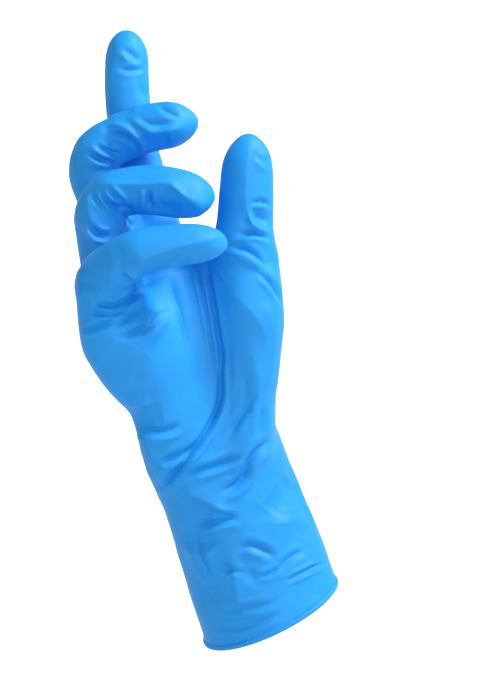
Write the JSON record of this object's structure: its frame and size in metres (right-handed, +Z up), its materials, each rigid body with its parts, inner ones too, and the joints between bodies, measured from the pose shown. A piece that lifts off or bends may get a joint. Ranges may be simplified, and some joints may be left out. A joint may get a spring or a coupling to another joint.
{
  "type": "nitrile exam glove",
  "caption": "Thin blue nitrile exam glove in its worn shape, fingers curled and thumb raised, with an open hollow and a rolled cuff edge.",
  "frame": {"origin": "centre of the cuff mouth, where the wrist goes in", "axes": "+Z up towards the fingertips, +X towards the thumb, -Y the side from which the palm is seen"},
  "size_m": [0.109, 0.0927, 0.2524],
  "materials": {
    "nitrile_film": "satin dipped nitrile film, blue"
  },
  "bodies": {
    "root": {"glove": "nitrile_film"}
  },
  "joints": []
}
